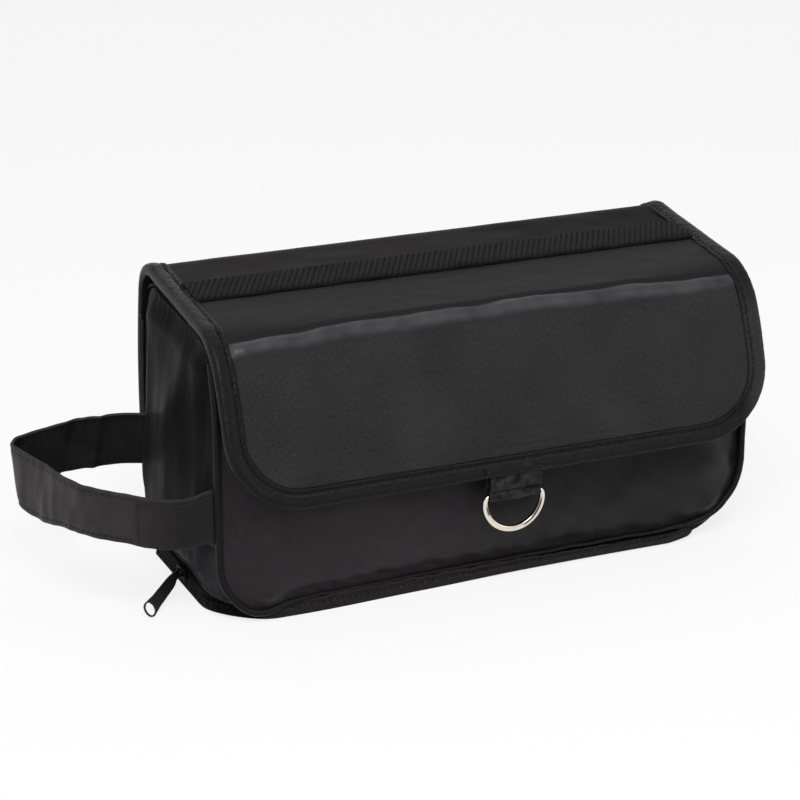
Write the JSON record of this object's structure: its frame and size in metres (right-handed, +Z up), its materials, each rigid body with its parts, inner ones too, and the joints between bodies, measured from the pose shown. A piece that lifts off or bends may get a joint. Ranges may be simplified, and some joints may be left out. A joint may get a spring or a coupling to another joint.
{
  "type": "toiletry bag",
  "caption": "Soft black toiletry bag that stands on its base, with a fold-over flap with a hanging ring, a zipped pouch and a strap loop at one end.",
  "frame": {"origin": "on the underside of the base, midway between the two ends, 58 mm ahead of the foot of the back", "axes": "+X along the length, away from the end with the strap loop; +Y towards the back; +Z up"},
  "size_m": [0.3786, 0.1466, 0.1604],
  "materials": {
    "shell_fabric": "matt twill weave",
    "satin_fabric": "satin sheen weave",
    "gusset_fabric": "shiny thin nylon",
    "lining_fabric": "thin plain weave",
    "binding_tape": "ribbed tape",
    "webbing": "ribbed twill webbing",
    "foam": "soft closed-cell foam",
    "board": "stiff sheet",
    "hook_loop": "hook and loop pile",
    "zip_tape": "woven tape",
    "zip_coil": "nylon coil",
    "ring_metal": "polished nickel plate",
    "black_metal": "semi-gloss black"
  },
  "bodies": {
    "sheet": {"base_panel": "shell_fabric", "base_board": "board", "base_lining": "lining_fabric", "base_binding": "binding_tape", "back_panel": "shell_fabric", "back_foam": "foam", "back_lining": "lining_fabric", "back_binding": "binding_tape", "zip_tape_lower": "zip_tape", "zip_coil_lower": "zip_coil", "zip_stops": "black_metal"},
    "pouch": {"front_panel": "shell_fabric", "front_lining": "lining_fabric", "gusset_left": "gusset_fabric", "gusset_right": "gusset_fabric", "gusset_top": "lining_fabric", "gusset_lining": "lining_fabric", "front_piping": "binding_tape", "top_panel": "satin_fabric", "top_foam": "foam", "top_lining": "lining_fabric", "top_binding": "binding_tape", "webbing": "webbing", "loop_patches": "hook_loop", "strap_anchors": "webbing", "zip_tape_upper": "zip_tape", "zip_coil_upper": "zip_coil"},
    "flap": {"flap_panel": "shell_fabric", "flap_foam": "foam", "flap_lining": "lining_fabric", "flap_binding": "binding_tape", "hook_patches": "hook_loop", "ring_tab": "webbing"},
    "ring": {"d_ring": "ring_metal"},
    "strap": {"strap_handle": "gusset_fabric"},
    "slider": {"zip_slider": "black_metal"},
    "pull": {"zip_pull": "black_metal"}
  },
  "joints": [
    {"name": "pouch_opening", "type": "hinge", "parent": "sheet", "child": "pouch", "pos_m": [0, 0.06358, 0.14], "axis": [-1, 0, 0], "range_deg": [0, 95]},
    {"name": "flap_lift", "type": "hinge", "parent": "pouch", "child": "flap", "pos_m": [0, -0.005, 0.15547], "axis": [-1, 0, 0], "range_deg": [0, 150]},
    {"name": "ring_swing", "type": "hinge", "parent": "flap", "child": "ring", "pos_m": [0.002, -0.0729, 0.0545], "axis": [-1, 0, 0], "range_deg": [0, 140]},
    {"name": "strap_swing", "type": "hinge", "parent": "pouch", "child": "strap", "pos_m": [-0.166, 0, 0.06], "axis": [0, 1, 0], "range_deg": [-25, 60]},
    {"name": "slider_travel", "type": "slide", "parent": "sheet", "child": "slider", "axis": [0, 1, 0], "range_m": [-0.02, 0.03]},
    {"name": "pull_swing", "type": "hinge", "parent": "slider", "child": "pull", "pos_m": [-0.1532, 0.001, 0.008], "axis": [-0.0709, -0.0815, 0.9942], "range_deg": [-130, 36]}
  ]
}
